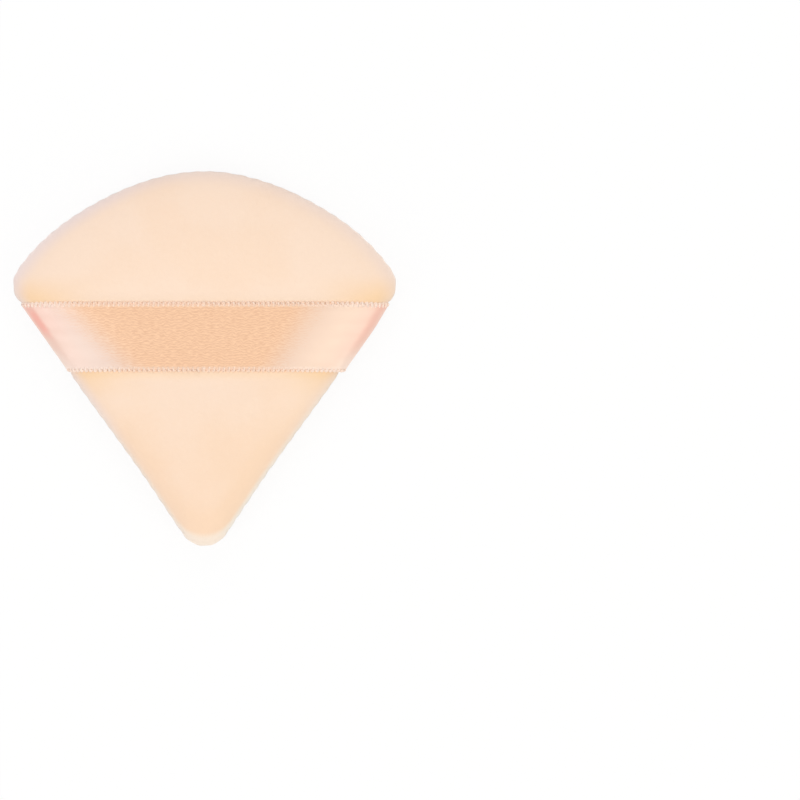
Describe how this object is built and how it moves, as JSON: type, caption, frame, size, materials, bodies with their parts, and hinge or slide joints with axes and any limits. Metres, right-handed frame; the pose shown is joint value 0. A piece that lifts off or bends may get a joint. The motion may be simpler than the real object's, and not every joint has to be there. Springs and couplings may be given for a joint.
{
  "type": "powder puff",
  "caption": "Fan-shaped padded velour powder puff with a rounded tip and a satin ribbon strap across its front that holds it on a finger.",
  "frame": {"origin": "on the resting face of the back panel, under the middle of the puff's box", "axes": "+X along the finger strap, +Y from the tip towards the round edge, +Z out of the front, on the strap's side"},
  "size_m": [0.07, 0.0684, 0.0127],
  "materials": {
    "velour": "short dense velour pile, peach, matt with a soft sheen",
    "satin": "satin ribbon, peach, glossy across its width, with looped selvedges",
    "wadding": "soft springy fibre wadding, off-white",
    "thread": "twisted sewing thread, peach"
  },
  "bodies": {
    "pad": {"front_panel": "velour", "back_panel": "velour", "filling": "wadding", "ribbon_end_left": "satin", "ribbon_end_right": "satin", "seam_thread": "thread", "closing_thread": "thread", "strap_tack_left": "thread", "strap_tack_right": "thread"},
    "strap": {"ribbon_strap": "satin"}
  },
  "joints": [
    {"name": "strap_lift", "type": "slide", "parent": "pad", "child": "strap", "axis": [0, 0, 1], "range_m": [0, 0.008], "stiffness_N_per_m": 20}
  ]
}
